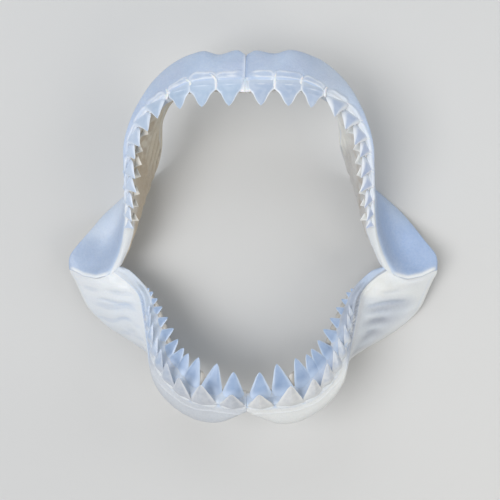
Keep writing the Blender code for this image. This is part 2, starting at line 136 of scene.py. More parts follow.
def through(knots, points, at):
    """The points, at the parameters at, of the smooth curve through points, one for each knot."""
    knots, points = np.asarray(knots, float), np.asarray(points, float)
    last = len(knots) - 1
    before, after = np.maximum(np.arange(last + 1) - 1, 0), np.minimum(np.arange(last + 1) + 1, last)
    slopes = (points[after] - points[before]) / (knots[after] - knots[before])[:, None]
    i = np.clip(np.searchsorted(knots, at, side="right") - 1, 0, last - 1)
    length = (knots[i + 1] - knots[i])[:, None]
    t = (at[:, None] - knots[i][:, None]) / length
    return blend(points[i], points[i + 1], slopes[i] * length, slopes[i + 1] * length, t)


def blend(start, end, leaving, arriving, t):
    """A cubic from start to end that leaves and arrives with these slopes."""
    return (
        start * (1 - 3 * t**2 + 2 * t**3)
        + end * (3 * t**2 - 2 * t**3)
        + leaving * (t - 2 * t**2 + t**3)
        + arriving * (t**3 - t**2)
    )


def unit(vectors):
    """These vectors with a length of 1."""
    return vectors / np.linalg.norm(vectors, axis=-1, keepdims=True)


def on_skin(rails, station, turn):
    """Points of a cartilage's skin. A turn of 0 is on the gum rail, 1 on the next rail, and so on round."""
    gum, bulge, face, edge, back, tongue_side, shelf = (
        through(rail[:, 0], rail[:, 1:] / 1000, station) for rail in map(np.array, rails)
    )
    rear = edge + unit(back - face) * REAR_EDGE
    corners = np.stack([gum, bulge, face, edge, rear, back, tongue_side, shelf])
    onward, count = np.roll(corners, -1, axis=0), len(corners)
    spans = np.linalg.norm(onward - corners, axis=2) ** 0.5
    slopes = (onward - np.roll(corners, 1, axis=0)) / (spans + np.roll(spans, 1, axis=0))[:, :, None]
    turn, each = np.mod(turn, count), np.arange(len(station))
    i = turn.astype(int)
    j = (i + 1) % count
    leaving, arriving = (slopes[k, each] * spans[i, each][:, None] for k in (i, j))
    points = blend(corners[i, each], corners[j, each], leaving, arriving, (turn - i)[:, None])
    points[:, 1] += CENTRING
    return points


def hinge_distance(points):
    """How far points lie towards +Y from the hinge line, square to it."""
    x, y = np.array(HINGE_LINE).T / 1000
    slope = np.interp(points[..., 0], (x[1:] + x[:-1]) / 2, np.diff(y) / np.diff(x))
    return (points[..., 1] - CENTRING - np.interp(points[..., 0], x, y)) / np.hypot(1, slope)


def last_stations(rails, turns, side_of_hinge):
    """Where each line along the jaw meets the hinge, by halving."""
    low, high = np.full(len(turns), TURN_STATION), np.full(len(turns), LAST_STATION)
    for _ in range(HALVINGS):
        middle = (low + high) / 2
        clear = hinge_distance(on_skin(rails, middle, turns)) * side_of_hinge > GAP / 2
        low, high = np.where(clear, middle, low), np.where(clear, high, middle)
    return low


def step(value, low, high):
    """0 up to low, 1 from high on, and smooth between them. Low may be the larger."""
    t = np.clip((value - low) / (high - low), 0, 1)
    return t * t * (3 - 2 * t)


def within(value, start, full, fading, end):
    """0 outside start and end, 1 from full to fading, and smooth between them."""
    return step(value, start, full) * step(value, end, fading)


def most(*masks):
    """The largest of these at each point."""
    return reduce(np.maximum, masks)


def hump(distance, width):
    """1 on a line, falling away smoothly on both sides of it."""
    return np.exp(-((distance / width) ** 2))


def rounding(distance, radius):
    """How far a skin draws in, at a distance from a face that it meets with a rounded edge."""
    t = np.clip(1 - distance / radius, 0, 1)
    return radius * (1 - np.sqrt(1 - t**2))


def waves(points, size, seed):
    """Smooth noise between -1 and 1 with lumps of about this size."""
    shift = Vector((seed * 7.3, seed * 3.1, seed * 5.7))
    flat = points.reshape(-1, 3) / size
    return np.array([noise.noise(Vector(p) + shift) for p in flat]).reshape(points.shape[:-1])


def ring_faces(rows, columns, first=0):
    """The point numbers of a tube of rings, counted from first, as a grid, and the quads between them."""
    index = first + np.arange(rows * columns).reshape(rows, columns)
    beside = np.roll(index, -1, axis=1)
    return index, np.stack([index[:-1], beside[:-1], beside[1:], index[1:]], axis=2).reshape(-1, 4).tolist()


def closed_mesh(name, points, faces, masks, mirrored, merged=False):
    """A smooth mesh with its faces turned outwards, mirrored for a right half, with masks as attributes."""
    mesh = bpy.data.meshes.new(name)
    mesh.from_pydata((points * ((-1, 1, 1) if mirrored else 1)).tolist(), [], faces)
    for mask, values in masks.items():
        layer = mesh.attributes.new(mask, "FLOAT", "POINT")
        layer.data.foreach_set("value", np.asarray(values, np.float32))
    shape = bmesh.new()
    shape.from_mesh(mesh)
    if merged:
        bmesh.ops.remove_doubles(shape, verts=shape.verts, dist=1e-6)
    bmesh.ops.recalc_face_normals(shape, faces=shape.faces)
    shape.to_mesh(mesh)
    shape.free()
    mesh.shade_smooth()
    return mesh


class Skin:
    """The fine grid of a half jaw's skin, with the measures from which its relief is worked out."""

    def __init__(self, rails, outwards, side_of_hinge, middle_rounding):
        self.middle_rounding = middle_rounding

        # The rows stand close together where they curl in at the middle, then evenly, and swing to the hinge.
        turns = np.concatenate([i + np.arange(count) / count for i, count in enumerate(SPAN_COLUMNS)])
        curl = (1 - np.cos(np.linspace(0, pi / 2, ROUNDING_ROWS + 1)[:-1])) * middle_rounding
        per_station = rails[0][1][1] / rails[0][1][0] / 1000  # metres of jaw, at the middle
        main = np.linspace(middle_rounding / STATION_LENGTH, TURN_STATION, MAIN_ROWS, endpoint=False)
        fore = np.concatenate([curl / per_station, main])
        swing = np.linspace(0, 1, HINGE_ROWS) ** HINGE_CROWDING
        ends = last_stations(rails, turns, side_of_hinge)
        aft = TURN_STATION + swing[:, None] * (ends - TURN_STATION)[None, :]
        self.station = np.concatenate([np.repeat(fore[:, None], len(turns), axis=1), aft])
        self.turn = np.repeat(turns[None, :], len(self.station), axis=0)

        # The points, the directions in which the skin faces there, and how far apart they are.
        self.points = self.at(rails, 0, 0)
        along = self.at(rails, NUDGE, 0) - self.at(rails, -NUDGE, 0)
        around = self.at(rails, 0, NUDGE) - self.at(rails, 0, -NUDGE)
        normals = np.cross(along, around) * outwards
        self.normals = normals / np.maximum(np.linalg.norm(normals, axis=2), 1e-12)[:, :, None]
        hops = np.linalg.norm(np.roll(self.points, -1, axis=1) - self.points, axis=2)
        self.girth = hops.sum(axis=1)[:, None]
        self.labial = np.cumsum(hops, axis=1) - hops  # distance round the section from the gum rail
        self.lingual = self.girth - self.labial
        samples = np.linspace(0, LAST_STATION, TRAVEL_SAMPLES)
        gum = on_skin(rails, samples, np.zeros(len(samples)))
        travelled = np.concatenate([[0], np.cumsum(np.linalg.norm(np.diff(gum, axis=0), axis=1))])
        self.travel = lambda station: np.interp(station, samples, travelled)
        self.from_hinge = hinge_distance(self.points) * side_of_hinge

    def at(self, rails, further, round_it):
        flat = on_skin(rails, (self.station + further).ravel(), (self.turn + round_it).ravel())
        return flat.reshape(*self.station.shape, 3)

    def pad(self, tooth, above, unevenness):
        """Signed distance from the rounded outline of the gum pad over a tooth, less than 0 inside."""
        station, width = tooth[:2]
        aside = np.abs(self.travel(self.station) - self.travel(station) + unevenness)
        height = np.where(self.labial < self.girth / 2, self.labial, -self.lingual) - unevenness
        a = aside - width * 0.5 + PAD_CORNER
        b = np.abs(height - (above - PAD_BELOW) / 2) - (above + PAD_BELOW) / 2 + PAD_CORNER
        outside = np.hypot(np.maximum(a, 0), np.maximum(b, 0))
        return outside + np.minimum(np.maximum(a, b), 0) - PAD_CORNER

    def beside(self, teeth):
        """How far each point lies along the jaw from the nearest crown, less than 0 at a crown."""
        here = self.travel(self.station)
        return np.min([np.abs(here - self.travel(tooth[0])) - 0.52 * tooth[1] for tooth in teeth], axis=0)

    def mesh(self, name, height, masks, mirrored):
        """The closed mesh of the skin raised by height along its normals, with masks as attributes."""
        at_middle = rounding(self.points[:, :, 0], self.middle_rounding)
        at_hinge = rounding(np.maximum(self.from_hinge, 0), HINGE_ROUNDING)
        points = self.points + self.normals * (height - (at_middle + at_hinge))[:, :, None]
        points[:, :, 2] = np.maximum(points[:, :, 2], 0)
        points[:, :, 0] = np.maximum(points[:, :, 0], GAP / 2)
        index, faces = ring_faces(*self.station.shape)
        for cap, ring in enumerate((index[0], index[-1])):
            faces += [(a, b, index.size + cap) for a, b in zip(ring, np.roll(ring, -1))]
        flat = np.concatenate([points.reshape(-1, 3), [points[0].mean(axis=0), points[-1].mean(axis=0)]])
        masks = {mask: np.append(np.clip(values, 0, 1).ravel(), (0, 0)) for mask, values in masks.items()}
        return closed_mesh(name, flat, faces, masks, mirrored)


class Value:
    """A number that varies over a surface. Sums and products of it add Math nodes."""

    def __init__(self, finish, socket):
        self.finish, self.socket = finish, socket

    def math(self, operation, first, second):
        return self.finish.node("ShaderNodeMath", {"operation": operation}, {0: first, 1: second})

    def __add__(self, other):
        return self.math("ADD", self, other)

    def __sub__(self, other):
        return self.math("SUBTRACT", self, other)

    def __mul__(self, other):
        return self.math("MULTIPLY", self, other)

    def __rsub__(self, other):
        return self.math("SUBTRACT", other, self)

    __radd__ = __add__
    __rmul__ = __mul__


class Finish:
    """A material and its nodes."""

    def __init__(self, name, constants):
        self.material = bpy.data.materials.new(name)
        self.material.use_nodes = True
        self.tree = self.material.node_tree
        self.shader = self.tree.nodes["Principled BSDF"]
        for socket, value in constants.items():
            self.shader.inputs[socket].default_value = value
        self.place = self.node("ShaderNodeTexCoord", {}, {}, output="Object")

    def node(self, kind, settings, sockets, output=0):
        """Adds a node: its settings come first, then the values and links of its sockets."""
        node = self.tree.nodes.new(kind)
        for name, value in settings.items():
            if name == "stops":
                for stop, (place, colour) in zip(node.color_ramp.elements, value):
                    stop.position, stop.color = place, (*colour, 1.0)
            else:
                setattr(node, name, value)
        for name, value in sockets.items():
            self.feed(node.inputs[name], value)
        return Value(self, node.outputs[output])

    def feed(self, socket, value):
        if isinstance(value, Value):
            self.tree.links.new(value.socket, socket)
        elif isinstance(value, tuple) and len(value) == 3 and socket.type == "RGBA":
            socket.default_value = (*value, 1.0)
        else:
            socket.default_value = value

    def mask(self, name):
        """An attribute of the mesh."""
        return self.node("ShaderNodeAttribute", {"attribute_name": name}, {}, output="Fac")

    def cloud(self, size, detail=3.0, low=0.35, high=0.65):
        """Soft patches of about this size, spread from 0 to 1."""
        patches = self.node(
            "ShaderNodeTexNoise", {}, {"Vector": self.place, "Scale": 1 / size, "Detail": detail}
        )
        return self.spread(patches, low, high)

    def spread(self, value, low, high, start=0.0, end=1.0):
        """Turns the range from low to high into start to end, and holds it there."""
        return self.node(
            "ShaderNodeMapRange",
            {"interpolation_type": "SMOOTHSTEP"},
            {"Value": value, "From Min": low, "From Max": high, "To Min": start, "To Max": end},
        )

    def mix(self, share, first, second):
        """One colour turning into another."""
        return self.node("ShaderNodeMix", {"data_type": "RGBA"}, {0: share, 6: first, 7: second}, output=2)

    def layered(self, colour, *layers):
        """This colour with others laid over it, one after the other, each by its share."""
        for share, over in layers:
            colour = self.mix(share, colour, over)
        return colour

    def wear(self, colour, roughness, height, depth):
        """Gives the shader its colour, roughness, and bumps of this height map, depth metres deep."""
        self.feed(self.shader.inputs["Base Color"], colour)
        self.feed(self.shader.inputs["Roughness"], roughness)
        bump = self.node("ShaderNodeBump", {}, {"Height": height, "Distance": depth, "Strength": 1.0})
        self.feed(self.shader.inputs["Normal"], bump)


TILE_SIZE = 0.0014  # the mineral tiles in the skin


def cartilage_finish(name):
    """Dried cartilage: a cool white face, a beige tongue side, pale gum crests, painted light and shade."""
    # Painted light in the colours: the cool white carries the blue of the light from above, and the cream the
    # warm light from below on faces that turn down, as well as the pale of the dried gum.
    cool, cream, crest_and_highlight_white = (0.46, 0.57, 0.74), (0.77, 0.77, 0.73), (0.84, 0.87, 0.91)
    beige, brown, grey = (0.60, 0.53, 0.41), (0.32, 0.22, 0.12), (0.33, 0.35, 0.40)
    finish = Finish(
        name,
        {
            "Metallic": 0.0,
            "Coat Weight": 0.12,
            "Coat Roughness": 0.25,
            "Subsurface Weight": 0.12,
            "Subsurface Radius": (1.0, 0.8, 0.6),
            "Subsurface Scale": 0.003,
        },
    )
    patches = finish.cloud(0.030)
    drifts = finish.cloud(0.055, detail=2.0, low=0.42, high=0.72)
    flecks = finish.cloud(0.0035, detail=5.0)
    tiles = finish.node(
        "ShaderNodeTexVoronoi",
        {"feature": "DISTANCE_TO_EDGE"},
        {"Vector": finish.place, "Scale": 1 / TILE_SIZE},
    )
    seams = finish.spread(tiles, 0.0, 0.16)
    lingual = finish.mask("lingual")
    # Over the cool white: random patches, then painted shade in blue, painted warm light in cream, the beige
    # tongue side, painted shade in grey, brown stains with painted shade, pale gum with painted highlights,
    # the dark joints of the tiles, and flecks.
    colour = finish.layered(
        cool,
        (patches * 0.40, (0.56, 0.65, 0.79)),
        (drifts * 0.35, (0.44, 0.49, 0.65)),
        (finish.mask("shade"), (0.31, 0.42, 0.62)),
        (finish.mask("cream"), cream),
        (lingual, finish.mix(patches * 0.5, beige, (0.66, 0.63, 0.55))),
        (finish.mask("grey"), grey),
        (finish.mask("stain_and_shade") * 0.48, brown),
        (finish.mask("crest_and_highlight") * 0.62, crest_and_highlight_white),
        ((1 - seams) * 0.10, (0.34, 0.36, 0.40)),
        (flecks * 0.06, (0.95, 0.95, 0.93)),
    )
    roughness = 0.40 + patches * 0.10 + lingual * 0.14 + (1 - seams) * 0.06
    finish.wear(colour, roughness, seams * 0.4 + flecks * 0.6, 0.00018)
    return finish.material


def upper_relief(skin, seed, lit_paleness, wing_shade):
    """Height over the plain skin, and the masks of its finish with painted light and shade, for an upper
    cartilage.

    A turn of 1 is the labial bulge, 2 the face, 3 to 4 the rear edge, 5 the side that faces the floor, 6 the
    lingual bulge, and 7 to 8 the shelf behind the feet of the teeth.
    """
    points, station, turn = skin.points, skin.station, skin.turn
    from_middle = points[:, :, 0]
    toothless = step(station, 7.6, 8.4)
    tongue = within(turn, 5.2, 5.9, 6.95 - 0.45 * toothless, 7.35 - 0.45 * toothless)
    uneven, blotches = 0.0024 * waves(points, 0.016, seed + 8), waves(points, 0.011, seed + 9)

    # The pads of gum over the roots, with a pale ridge round each, white partly as painted highlight.
    top = step(skin.labial, 0.030, 0.022) + step(skin.lingual, 0.012, 0.006)
    crest_and_highlight, height = np.zeros(station.shape), np.zeros(station.shape)
    for number, tooth in enumerate(UPPER_TEETH):
        strength = 1.0 if number < FRONT_PADS else 0.8
        outline = skin.pad(tooth, tooth[1] * PAD_HEIGHT, uneven)
        height = most(height, PAD_RELIEF * strength * step(outline, 0.0014, -0.0040))
        if number >= FRONT_PADS:
            swelling = skin.pad(tooth, tooth[1] * SIDE_PAD_HEIGHT, uneven)
            height = most(height, SIDE_PAD_RELIEF * step(swelling, 0.0010, -0.0070))
        ridge = hump(outline, GUM_RIDGE) * top * strength
        inner = hump(skin.labial - 0.0010 + uneven, GUM_RIDGE) * step(outline, 0.0, -0.002) * strength
        height = height + RIDGE_RELIEF * ridge + INNER_RELIEF * inner
        crest_and_highlight = most(crest_and_highlight, (0.90 + 0.9 * blotches) * most(ridge, inner))
    crest_and_highlight = crest_and_highlight * step(from_middle, 0.004, 0.016)

    # The folds of the throat, the dents of drying, the rolled rim by the hinge and the hollow before it.
    folds = np.sin(2 * pi * (skin.lingual + FOLD_WANDER * waves(points, 0.045, seed + 3)) / THROAT_FOLD)
    folds *= (0.7 + 0.8 * waves(points, 0.040, seed + 12)) * step(skin.lingual, 0.036, 0.054)
    height += tongue * (folds * FOLD_RELIEF + 0.0015 * waves(points, 0.013, seed + 10))
    height += 0.0009 * waves(points, 0.030, seed) + 0.00014 * waves(points, 0.007, seed + 1)
    rim = hump(skin.from_hinge - 0.0030, RIM_WIDTH) * within(turn, 0.9, 1.3, 2.7, 3.1)
    bowl = step(skin.from_hinge, 0.006, 0.020) * hump(turn - 1.9, 0.55) * step(station, 7.0, 8.2)
    height += RIM_RELIEF * rim - BOWL_DEPTH * bowl
    between = step(turn, 7.0, 7.25) * step(skin.beside(UPPER_TEETH), -0.003, 0.0005) * step(station, 8.4, 7.6)
    height += BETWEEN_RELIEF * between

    # Cream, partly painted warm light: the rim, the toothless bar, the rear edge, and the gum beside and
    # between the teeth; more painted light on the gum of the left half and on the wing of the right half.
    bar = (step(turn, 1.12, 0.9) + step(turn, 6.6, 6.9)) * step(station, 6.6, 8.0)
    rear = within(turn, 2.75, 3.0, 4.0, 4.4) * step(station, 6.4, 5.4)
    cream = most((0.85 + 0.15 * lit_paleness) * rim, 0.8 * bar) + 0.4 * rear
    shelf = step(turn, 7.0, 7.3) * (0.30 + 0.65 * lit_paleness)
    gum_side = step(skin.labial, 0.008 + 0.007 * lit_paleness, 0.002) * (0.30 + 0.35 * lit_paleness)
    at_the_side = step(station, 2.6, 3.6)
    gum_cream = most(shelf, gum_side) * at_the_side * step(station, 8.6, 8.0)
    cream = most(cream, between * (0.3 + 0.7 * at_the_side), gum_cream)
    cream = cream + 0.24 * lit_paleness * hump(station - 3.1, 0.8) * step(turn, 2.2, 1.2)
    wing = within(turn, 1.0, 1.3, 3.2, 3.6) * step(station, 5.6, 7.4)
    cream = most(cream, 0.20 * wing * (1 - lit_paleness))

    # Painted shade and highlights: a bluer painted shade on the wing, deeper by the hinge; at the seam at the
    # middle, painted shade on the left half and a painted highlight on the right; a blue white painted
    # highlight on the bar and the lit wing of the right half, and a white one on the rim.
    base, more, start, end = wing_shade
    shade = wing * (base + more * step(skin.from_hinge, start, end))
    seam = hump(from_middle, 0.0035) * step(turn, 2.4, 1.8)
    if lit_paleness > 0:
        shade = most(shade, 0.8 * seam)
    else:
        crest_and_highlight = most(crest_and_highlight, 0.8 * seam)
    bluish = 0.45 * bar + 0.20 * wing * step(shade, 0.5, 0.1)
    crest_and_highlight = most(crest_and_highlight, (0.7 - 0.3 * lit_paleness) * rim, bluish * (1 - lit_paleness))

    # Brown stains and painted shade inside the mouth: painted shadow in the pockets by the teeth, in the
    # troughs of the folds and on the shelf of the right half, where the beige is also deeper; darker and
    # greyer towards the rear.
    # The left half has less of them, with painted light near the teeth and in front. A little grey on the
    # front face, and painted shade beside the bar on the left half.
    light_pallor = 0.4 + (lit_paleness - 0.4) * step(from_middle, 0.0, 0.10)
    shaded_shelf = (1 - light_pallor) * within(turn, 6.9, 7.2, 7.8, 8.0) * within(station, 3.2, 4.0, 7.8, 8.4)
    pockets = hump(skin.lingual - 0.028, 0.014) * (0.9 + 3.2 * blotches) * step(station, 3.6, 4.4)
    in_the_rear = step(station, 5.0 - 0.7 * lit_paleness, 6.4 - 1.2 * lit_paleness)
    stain_and_shade = tongue * (np.maximum(pockets, 0) + 0.85 * step(folds, -0.15, -0.9) + 0.95 * in_the_rear)
    throat = most(tongue, within(turn, 3.3, 3.7, 5.2, 5.9))
    front_face = step(station, 4.4, 3.0) * step(turn, 3.0, 2.4)
    beside_bar = lit_paleness * wing * step(turn, 1.75, 1.35)
    near_teeth = lit_paleness * light_pallor * tongue * step(skin.lingual, 0.062, 0.036) * step(station, 7.2, 5.6)
    grey = throat * 0.56 * in_the_rear * light_pallor * (1 - 0.8 * near_teeth)
    in_front = light_pallor * lit_paleness * step(station, 4.3, 3.5)
    return height, {
        "crest_and_highlight": most(crest_and_highlight, 0.6 * throat * in_front, 0.55 * near_teeth),
        "cream": most(cream, throat),
        "shade": shade,
        "grey": grey + 0.14 * front_face + 0.30 * beside_bar,
        "lingual": most(throat * (1 - light_pallor), shaded_shelf),
        "stain_and_shade": most(stain_and_shade * (1 - 0.8 * light_pallor), 0.45 * shaded_shelf),
    }


def placed(name, data):
    """An object in the scene."""
    thing = bpy.data.objects.new(name, data)
    bpy.context.scene.collection.objects.link(thing)
    return thing


def add_piece(mesh, material, *nodes):
    """Adds a piece, which stands for these solids of the frame."""
    mesh.materials.append(material)
    piece = placed(mesh.name, mesh)
    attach(piece, "root")
    for node in nodes:
        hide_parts(node)


SIDES = (("left", False, 1), ("right", True, 2))
LIT_PALENESS = {"left": 0.80, "right": 0.0}  # painted light: the half whose tongue side is lit is drawn paler
# The painted shade of the wings, a bluer grey, more of it on the left half, away from the light: its share,
# how much more there is by the hinge, and where it starts and ends.
WING_SHADE = {"left": (0.25, 0.85, 0.105, 0.060), "right": (0.0, 1.0, 0.080, 0.030)}
cartilage = cartilage_finish("dried_cartilage")
upper_skin = Skin(UPPER_RAILS, outwards=1, side_of_hinge=1, middle_rounding=0.0016)
for side, mirrored, seed in SIDES:
    height, masks = upper_relief(upper_skin, seed, LIT_PALENESS[side], WING_SHADE[side])
    mesh = upper_skin.mesh(f"upper_cartilage_{side}", height, masks, mirrored)
    add_piece(mesh, cartilage, f"upper_jaw_{side}")

# ---------------------------------------------------------------- the upper teeth
# Flat triangular crowns of enamel with finely saw-edged sides. Each stands on its root in the gum, the
# labial face flat and the tongue side rounded. Tips of the next row show between those of the first.
SPARE_TEETH = in_metres(  # the next row
    (4.56, 16, 13.5, -150, 26), (5.32, 17, 14.5, -150, 26), (5.86, 17, 15, -150, 26),
    (6.34, 16, 14.5, -150, 26), (7.00, 15, 13.5, -150, 26), (7.38, 12, 12.5, -150, 26),
    (7.78, 11, 15, -150, 26),
)
SPARE_ROW_SHARE = 0.30  # how far the spare row stands from the shelf towards the gum
# Outlines of a crown, from the root up, in hundredths: of the height for the level, then of the width for the
# width at that level, the depth of the labial and of the lingual face, and how far it sinks under the gum.
SHOULDERED_CROWN = (
    (-35, 80, 0, 9, 30), (0, 104, 1, 15, 0), (16, 109, 4.5, 17, 0), (24, 112, 6.2, 18, 0),
    (28, 112, 4.8, 18, 0), (39, 105, 5.2, 18, 0), (46, 89, 6, 16, 0), (55, 69, 5, 14, 0),
    (68, 52, 4, 11, 0), (79, 40, 3, 9, 0), (90, 24, 2, 6, 0), (100, 0, 0, 0, 0),
)
SLOPING_CROWN = (
    (-35, 80, 2, 9, 30), (0, 114, 5, 11, 0), (16, 112, 10, 11, 0), (40, 82, 11, 10, 0),
    (60, 52, 9, 8, 0), (80, 28, 5, 5, 0), (93, 11, 2, 3, 0), (100, 0, 0, 0, 0),
)
SHOULDERED_TEETH = 3  # those in front
CROWN_ROWS, CROWN_COLUMNS = 72, 28
SHARP_FROM = radians(48)  # edges of a crown that bend more than this stay sharp
BESIDE_FOOT = 0.05  # stations to either side of a foot, for the direction of the jaw there
SAW_PITCH, SAW_DEPTH = 0.0011, 0.00018
SAW_FROM = (0.30, 0.45)  # of the height: where the saw edge begins, and where it has its full depth
PALE_RIM = {"left": 0.45, "right": 0.80}  # power that widens the pale rim of a sloping crown, partly painted highlight
BLUNT = 0.0009  # radius of a tip
OVERLAP = 0.085  # of the width: how far the hinge side of a sloping crown stands proud of the next
HOOK = {"left": 0.05, "right": 0.14}  # of the width: how far its foot lies towards the hinge from its tip
FOOT_OUT = {"left": 0.035, "right": 0.138}  # of the width: how far its foot lies out over the gum


def heading(tooth):
    """The direction in which a crown points."""
    turn, lift = radians(tooth[3]), radians(tooth[4])
    return np.array((cos(turn) * cos(lift), sin(turn) * cos(lift), sin(lift)))


def crown_points(foot, along, outline, tooth, face_power, overlap, hook, outward):
    """The grid of a crown's surface, and how far each point is from the middle and from the root."""
    _, width, height, _, _ = tooth
    up = heading(tooth)
    out = unit(np.cross(up, along))
    side = np.cross(up, out)

    # The widths and depths at each level, with a rounded tip.
    knots = np.array(outline) / 100
    level = np.linspace(knots[0, 0], 1, CROWN_ROWS)
    level[-4:] = 1 - np.array((2.4, 1.0, 0.3, 0.0)) * BLUNT / height
    wide, labial, lingual, sunk = np.maximum(through(knots[:, 0], knots[:, 1:], level), 0).T[:, :, None]
    low_part, level = np.maximum(1 - level, 0)[:, None], level[:, None]
    from_tip = low_part * height / BLUNT
    round_tip = 2 * BLUNT * np.sqrt(np.clip(from_tip * (2 - from_tip), 0, 1)) / width
    wide = np.where(from_tip < 1, np.minimum(wide, round_tip), wide)

    # The ring at each level: over the labial face, then back over the lingual one, with saw edges.
    v = np.arange(CROWN_COLUMNS) / CROWN_COLUMNS * 2
    a = np.where(v < 1, -cos_wave(v), cos_wave(v - 1))
    deep = np.where(v < 1, labial * (1 - np.abs(a) ** face_power), -lingual * (1 - np.abs(a) ** 2))
    deep = deep - overlap * a * wide - sunk
    saw = SAW_DEPTH * np.abs(np.sin(pi * level * height / SAW_PITCH)) * step(level, *SAW_FROM)
    low_part = np.minimum(low_part, 1)
    across = (wide * width / 2 - saw * (wide > 0.05)) * a - hook * width * low_part**2
    grid = np.stack([level * height + 0 * a, across, deep * width], axis=2)
    points = foot + grid @ np.stack([up, side, out]) + outward * (low_part**1.3)[:, :, None]
    return points, np.abs(a) + 0 * level, level + 0 * a


def cos_wave(v):
    """Runs from 1 to -1 as v runs from 0 to 1, with its points closer together at the ends."""
    return 0.5 * np.cos(pi * v) + 0.5 * (1 - 2 * v)


def foot_point(rails, share, station):
    """The feet of crowns at these stations: on the gum rail at a share of 1, on the shelf behind it at 0."""
    gum, shelf = (on_skin(rails, station, np.full(len(station), turn)) for turn in (0.0, 7.0))
    return shelf + (gum - shelf) * share


def tooth_row(
    name, rails, share, table, outlines, face_power, mirrored, overlap=0.0, shift=None, pale_rim=1.0
):
    """One mesh with all the crowns of a row.

    The masks say how near a point is to the pale rim, which carries painted highlights too, and to the tip,
    and how far back in the row its crown is.
    """
    points, faces, masks = [], [], {"edge": [], "level": [], "rear": []}
    for number, (tooth, outline) in enumerate(zip(table, outlines)):
        station = np.array([tooth[0] - BESIDE_FOOT, tooth[0], tooth[0] + BESIDE_FOOT])
        before, foot, after = foot_point(rails, share, station)
        sloping = outline is SLOPING_CROWN
        along = after - before if rails is UPPER_RAILS else before - after
        hook, outward = 0.0, np.zeros(3)
        if sloping and shift is not None:
            hook, foot_out = shift
            outward = unit(on_skin(rails, station[1:2], np.ones(1))[0] - foot) * foot_out * tooth[1]
        tilt = overlap if sloping else 0.0
        crown, beside, level = crown_points(foot, along, outline, tooth, face_power, tilt, hook, outward)
        index, quads = ring_faces(CROWN_ROWS, CROWN_COLUMNS, len(points))
        faces += [*quads, index[0].tolist()]
        points += crown.reshape(-1, 3).tolist()
        if sloping:
            beside = most(beside**pale_rim, step(level, 0.34, 0.06))
        elif outline is SHOULDERED_CROWN:
            # A painted highlight: a pale band across the bulge of a front crown, laid in with the pale rim.
            highlight_streak = hump(level - 0.25 + 0.05 * beside**2, 0.040) * step(beside, 0.75, 0.20)
            beside = most(beside**1.8, 0.84 * highlight_streak)
        masks["edge"] += beside.ravel().tolist()
        masks["level"] += level.ravel().tolist()
        masks["rear"] += [number / len(table)] * level.size
    mesh = closed_mesh(name, np.array(points), faces, masks, mirrored, merged=True)
    mesh.set_sharp_from_angle(angle=SHARP_FROM)
    return mesh


def enamel_finish(name, body, rim, root, rear, mottling=0.14, rim_fade=0.0):
    """Enamel: smooth, cool, paler at its edges and painted highlights, with other tints at root and rear."""
    finish = Finish(
        name,
        {
            "Metallic": 0.0,
            "Coat Weight": 0.20,
            "Coat Roughness": 0.20,
            "Subsurface Weight": 0.10,
            "Subsurface Radius": (1.0, 0.9, 0.8),
            "Subsurface Scale": 0.002,
        },
    )
    patches = finish.cloud(0.009)
    cracks = finish.node(
        "ShaderNodeTexNoise",
        {},
        {"Vector": finish.place, "Scale": 260.0, "Detail": 6.0, "Roughness": 0.7},
    )
    # The pale rim colour marks the edges of the crowns and the painted highlights laid in with them.
    thin_and_lit = finish.spread(finish.mask("edge"), 0.60, 0.98)
    low = finish.spread(finish.mask("level"), 0.34, 0.03)
    in_the_rear = finish.spread(finish.mask("rear"), 0.12, 0.55)
    at_the_rim = thin_and_lit * (0.80 - in_the_rear * rim_fade)
    layers = ((in_the_rear, rear), (patches * mottling, rim), (at_the_rim, rim), (low * 0.8, root))
    colour = finish.layered(body, *layers)
    finish.wear(colour, 0.30 + low * 0.16 + patches * 0.06, cracks, 0.00006)
    return finish.material


sloping_teeth = len(UPPER_TEETH) - SHOULDERED_TEETH
upper_outlines = [SHOULDERED_CROWN] * SHOULDERED_TEETH + [SLOPING_CROWN] * sloping_teeth
# The two halves' enamel differs as lit and shaded copies: painted light.
UPPER_ENAMEL = {  # colours of the body, the rim, the root, and the body of the teeth at the rear
    "left": ((0.39, 0.47, 0.60), (0.84, 0.85, 0.85), (0.56, 0.62, 0.70), (0.40, 0.47, 0.63)),
    "right": ((0.40, 0.50, 0.63), (0.74, 0.79, 0.86), (0.54, 0.62, 0.74), (0.52, 0.60, 0.72)),
}
# The spare teeth of the right half are painted darker, with darker roots, as painted shadow of the first row;
# those of the left half paler, as painted light.
SPARE_ENAMEL = {
    "left": ((0.80, 0.80, 0.76), (0.95, 0.95, 0.93), (0.62, 0.58, 0.50), (0.80, 0.80, 0.76)),
    "right": ((0.70, 0.66, 0.58), (0.86, 0.84, 0.78), (0.50, 0.44, 0.35), (0.70, 0.66, 0.58)),
}
spare_outlines = [SLOPING_CROWN] * len(SPARE_TEETH)
for side, mirrored, _ in SIDES:
    upper_enamel = enamel_finish(f"upper_enamel_{side}", *UPPER_ENAMEL[side])
    spare_enamel = enamel_finish(f"spare_enamel_{side}", *SPARE_ENAMEL[side])
    for row, share, table, outlines, enamel, shift in (
        ("upper", 1, UPPER_TEETH, upper_outlines, upper_enamel, (HOOK[side], FOOT_OUT[side])),
        ("upper_spare", SPARE_ROW_SHARE, SPARE_TEETH, spare_outlines, spare_enamel, None),
    ):
        name, pale_rim = f"{row}_teeth_{side}", PALE_RIM[side]
        mesh = tooth_row(name, UPPER_RAILS, share, table, outlines, 4.0, mirrored, OVERLAP, shift, pale_rim)
        add_piece(mesh, enamel)

